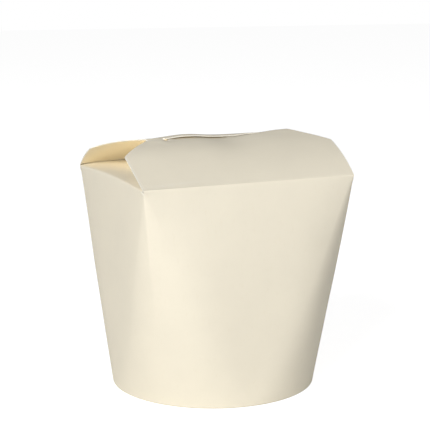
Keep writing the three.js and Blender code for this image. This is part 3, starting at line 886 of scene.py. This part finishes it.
# %% A tree that sets marks round a ring
def build_press_marks_tree():
    tree, (radius, height, count, mark_size, unevenness, seed, board) = new_tree(
        "Press Marks Round Foot", Ring_Radius="Float", Height="Float", Count="Int", Mark_Size="Vector",
        Unevenness="Float", Seed="Int", Board="Material")
    ring = node(tree, "GeometryNodeMeshCircle", Vertices=count, Radius=radius)
    raised = node(tree, "ShaderNodeCombineXYZ", Z=height)
    at_height = node(tree, "GeometryNodeTransform", Geometry=ring, Translation=raised)
    position = node(tree, "GeometryNodeInputPosition")
    outward = node(tree, "ShaderNodeVectorMath", {"operation": "MULTIPLY"}, i0=position, i1=(1, 1, 0))
    facing = node(tree, "FunctionNodeAlignRotationToVector", {"axis": "X", "pivot_axis": "Z"}, Vector=outward)
    mark = node(tree, "GeometryNodeMeshUVSphere", Segments=8, Rings=6, Radius=0.5)
    most, least = (math_node(tree, sign, 1.0, unevenness) for sign in ("ADD", "SUBTRACT"))
    uneven = node(tree, "FunctionNodeRandomValue", {"data_type": "FLOAT"}, gives=1,
                  i2=least, i3=most, Seed=seed)
    size = node(tree, "ShaderNodeVectorMath", {"operation": "SCALE"}, i0=mark_size, Scale=uneven)
    marks = node(tree, "GeometryNodeInstanceOnPoints", Points=at_height, Instance=mark,
                 Rotation=facing, Scale=size)
    return finish_tree(tree, marks, board)


marks_tree = build_press_marks_tree()
print("marks tree:", len(marks_tree.nodes), "nodes")

# %% Set the press marks
MARK_COUNT, MARK_HEIGHT, MARK_UNEVENNESS = 104, 3.3, 0.12
MARK_SIZE = (0.5, 1.1, 3.2)  # outwards, round the foot and up
MARK_SUNK = 0.12  # how far the middle of a mark is sunk in the hem
press_mesh = as_mesh(marks_tree, "foot_press_marks", Count=MARK_COUNT, Height=MARK_HEIGHT * MM,
                     Ring_Radius=(RECESS_RADIUS + MARK_SUNK) * MM, Mark_Size=[s * MM for s in MARK_SIZE],
                     Unevenness=MARK_UNEVENNESS, Seed=7, Board=finishes[OUTER_FACE])
press_marks = new_object("foot_press_marks", press_mesh)
smooth_below(press_marks, 60)
closed_report(press_marks)

# %% [markdown]
# ## Board finishes
# The box is cut from cream board. Its outer face has a thin matt coating: almost even, with faint cloudiness
# from the fibres under it and a very fine tooth that breaks up any shine. Its inner face is uncoated and
# yellower. A cut edge shows the bare fibres and is paler than both. The patterns read Object coordinates, which
# on these pieces are metres, so a noise scale of 1000 has features a millimetre across. All of them are made by
# the same nodes, because they are the same fibres seen through more or less coating.

# %% Nodes that the finishes share
CLOUD_SCALE, FIBRE_SCALE, COARSE_SCALE, GRAIN_SCALE = 70.0, 900.0, 420.0, 2600.0
ALONG_THE_WALL = (1.0, 1.0, 0.35)  # fibres are drawn out upwards
FLECK_FROM, FLECK_TO, FLECK_GAIN = 0.58, 0.78, 4
FIBRE_TINT = (0.93, 0.90, 0.84)
RUB_GAIN, RUB_LIMIT = 1.06, 0.97  # a crease is this much paler than its board, but never whiter than this
# the bare fibres of a cut edge; also painted on the faces just beside it as a painted highlight
CUT_CREAM = (0.95, 0.91, 0.81)


def own_nodes(block):
    block.use_nodes = True
    block.node_tree.nodes.clear()
    return block.node_tree


def noise_node(tree, place, scale, detail, roughness=0.5):
    return node(tree, "ShaderNodeTexNoise", Vector=place, Scale=scale, Detail=detail, Roughness=roughness)


def colour_mix(tree, share, below, above):
    """One colour over another; each is a socket or three numbers."""
    pair = [c if isinstance(c, bpy.types.NodeSocket) else (*c, 1) for c in (below, above)]
    return node(tree, "ShaderNodeMix", {"data_type": "RGBA"}, gives=2, i0=share, i6=pair[0], i7=pair[1])


def kept_on_mesh(tree, name):
    return node(tree, "ShaderNodeAttribute", {"attribute_name": name}, gives="Fac")


def board_colour(tree, clouds, upright, colour, cloud, fleck, crease_glow):
    """Cloudy board, then its flecks of fibre, then the pale creases, then the pale cut edges with a painted
    highlight on the faces beside them.
    """
    ground = colour_mix(tree, clouds, colour * (1 - cloud), colour * (1 + cloud))
    fibres = noise_node(tree, upright, FIBRE_SCALE, detail=2.0, roughness=0.6)
    flecks = node(tree, "ShaderNodeMapRange", Value=fibres, i1=FLECK_FROM, i2=FLECK_TO, i3=0.0, i4=1.0)
    share = math_node(tree, "MULTIPLY", flecks, fleck * FLECK_GAIN)
    flecked = colour_mix(tree, share, ground, colour * FIBRE_TINT)
    glow = math_node(tree, "MULTIPLY", kept_on_mesh(tree, "crease"), crease_glow)
    creased = colour_mix(tree, glow, flecked, np.minimum(colour * RUB_GAIN, RUB_LIMIT))
    # on a cut edge this is its bare fibres; on the faces right beside it, a painted highlight
    return colour_mix(tree, kept_on_mesh(tree, "cut"), creased, CUT_CREAM)


def board_relief(tree, place, upright, tooth):
    grain = noise_node(tree, place, GRAIN_SCALE, detail=3.0, roughness=0.6)
    coarse = math_node(tree, "MULTIPLY", noise_node(tree, upright, COARSE_SCALE, detail=2.0), 1.6)
    relief = math_node(tree, "ADD", grain, coarse)
    return node(tree, "ShaderNodeBump", Height=relief, Strength=tooth, Distance=0.05 * MM)


print(f"clouds {1 / CLOUD_SCALE / MM:.0f} mm, fibres {1 / FIBRE_SCALE / MM:.1f} mm across")

# %% Fill in the three board finishes and the disc's
CREAM, BARE_CREAM, DISC_CREAM = (0.90, 0.833, 0.68), (0.95, 0.83, 0.585), (0.86, 0.785, 0.62)
SHINE = 0.35
ROUGHNESS_SPREAD = 0.05  # either way, with the clouds


def board_finish(material, colour, roughness, cloud=0.03, tooth=0.12, fleck=0.05, crease_glow=0.0):
    """Gives a material the board's nodes; cloud, tooth and fleck are the strengths of its patterns."""
    tree = own_nodes(material)
    place = node(tree, "ShaderNodeTexCoord", gives="Object")
    upright = node(tree, "ShaderNodeMapping", Vector=place, Scale=ALONG_THE_WALL)
    clouds = noise_node(tree, place, CLOUD_SCALE, detail=3.0, roughness=0.55)
    uneven = node(tree, "ShaderNodeMapRange", Value=clouds, i1=0.3, i2=0.7,
                  i3=roughness - ROUGHNESS_SPREAD, i4=roughness + ROUGHNESS_SPREAD)
    shader = node(tree, "ShaderNodeBsdfPrincipled", Roughness=uneven, Specular_IOR_Level=SHINE,
                  Base_Color=board_colour(tree, clouds, upright, np.array(colour), cloud, fleck, crease_glow),
                  Normal=board_relief(tree, place, upright, tooth))
    tree.links.new(shader, tree.nodes.new("ShaderNodeOutputMaterial").inputs[0])


board_finish(finishes[OUTER_FACE], CREAM, roughness=0.56, crease_glow=0.7)
board_finish(finishes[INNER_FACE], BARE_CREAM, roughness=0.72, cloud=0.04, tooth=0.2, fleck=0.08)
board_finish(finishes[CUT_EDGE], CUT_CREAM, roughness=0.85, cloud=0.04, tooth=0.5, fleck=0.1)
disc_finish = bpy.data.materials.new("board_disc")
board_finish(disc_finish, DISC_CREAM, roughness=0.6, fleck=0.08)
disc.data.materials.append(disc_finish)
print("finishes:", [m.name for m in bpy.data.materials])

# %% [markdown]
# ## Fix every piece to the imported box
# The board stands for the solid carton and the spun disc for the plain one. The press marks are part of the
# carton's board. The box has no joints, so everything rides on its one body.

# %% Ride and replace
for piece in (carton, press_marks, disc):
    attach(piece, "root")
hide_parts("carton")
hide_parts("carton")
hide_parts("base_disc")

# %% [markdown]
# ## Studio
# A white table stands in a white surround. What the camera sees of them is plain white, but only a fifth of it
# lights the box, so that its walls keep their shades.

# %% Surround and table
SURROUND_LIGHT, TABLE_GLOW, TABLE_WHITE, TABLE_HALF = 0.20, 0.8, 0.85, 4.0


def lit_and_seen(tree, lit, seen, output):
    """Ends a tree in two shaders: one for what lights the box, one for what the camera sees directly."""
    is_camera = node(tree, "ShaderNodeLightPath", gives="Is Camera Ray")
    both = node(tree, "ShaderNodeMixShader", i0=is_camera, i1=lit, i2=seen)
    tree.links.new(both, tree.nodes.new(output).inputs[0])


world = bpy.data.worlds.new("studio")
bpy.context.scene.world = world
surround = own_nodes(world)
lit, seen = (node(surround, "ShaderNodeBackground", Color=(1, 1, 1, 1), Strength=strength)
             for strength in (SURROUND_LIGHT, 1.0))
lit_and_seen(surround, lit, seen, "ShaderNodeOutputWorld")

floor_mesh = bpy.data.meshes.new("floor")
floor_corners = [(x * TABLE_HALF, y * TABLE_HALF, 0) for x, y in ((-1, -1), (1, -1), (1, 1), (-1, 1))]
floor_mesh.from_pydata(floor_corners, [], [(0, 1, 2, 3)])
floor = new_object("floor", floor_mesh)
table = bpy.data.materials.new("white_table")
top = own_nodes(table)
matt = node(top, "ShaderNodeBsdfDiffuse", Color=(TABLE_WHITE, TABLE_WHITE, TABLE_WHITE, 1))
glow = node(top, "ShaderNodeEmission", Color=(1, 1, 1, 1), Strength=TABLE_GLOW)
lit_and_seen(top, matt, node(top, "ShaderNodeAddShader", i0=matt, i1=glow), "ShaderNodeOutputMaterial")
floor_mesh.materials.append(table)
print(f"table {2 * TABLE_HALF:.0f} m wide")

# %% [markdown]
# Two large soft lamps light the box: a strong one high on the left, and a weaker one low and a little right of
# the front. A low lamp lights the wall and leaves the top of the roof a shade darker, which shows the fold
# between them. Real board also lets a little light through, so it is never dark under the roof. A very weak
# lamp under the front flap stands for that light.

# %% Place the lamps
LAMP_DISTANCE, LAMP_SIZE = 1.3, 0.6  # metres
MIDDLE = Vector((0, 0, 60)) * MM
UNDER_ROOF, INNER_CORNER = Vector((-5, -12, 104.5)) * MM, Vector((-38, 26, 107)) * MM


def direction(azimuth, elevation):
    """Unit vector from the box to a lamp; azimuth 0 is straight in front and positive is to the right."""
    a, e = math.radians(azimuth), math.radians(elevation)
    return Vector((math.sin(a) * math.cos(e), -math.cos(a) * math.cos(e), math.sin(e)))


def add_lamp(name, kind, place, aim, power, **settings):
    data = bpy.data.lights.new(name, kind)
    data.energy = power
    for key, value in settings.items():
        setattr(data, key, value)
    lamp = new_object(name, data)
    lamp.location = place
    lamp.rotation_euler = (aim - place).to_track_quat("-Z", "Y").to_euler()
    print(name, "at", tuple(round(x, 3) for x in place))


for name, azimuth, elevation, power in (("soft_lamp", -50, 30, 12.0), ("low_lamp", 15, 5, 2.9)):
    place = MIDDLE + direction(azimuth, elevation) * LAMP_DISTANCE
    add_lamp(name, "AREA", place, MIDDLE, power, shape="DISK", size=LAMP_SIZE)
add_lamp("under_roof_lamp", "SPOT", UNDER_ROOF, INNER_CORNER, power=0.031,
         spot_size=math.radians(95), spot_blend=0.8, shadow_soft_size=2 * MM)

# %% [markdown]
# ## Camera
# The camera stands a little above the box and to its left, far enough off that the walls hardly converge, with
# a long lens. Depth of field stays off, so the whole box is sharp.

# %% Place the camera
camera_data = bpy.data.cameras.new("camera")
camera_data.sensor_width = 36.0
camera_data.lens = 108.87
camera_data.clip_start, camera_data.clip_end = 0.01, 20
camera = new_object("camera", camera_data)
aim = Vector((1.0, -0.4, 78.1)) * MM
camera.location = Vector((-236.8, -544.6, 186.9)) * MM
camera.rotation_euler = (aim - camera.location).to_track_quat("-Z", "Y").to_euler()
bpy.context.scene.camera = camera
bpy.context.scene.view_settings.view_transform = "Standard"
print(f"camera {(camera.location - aim).length:.3f} m from its aim")
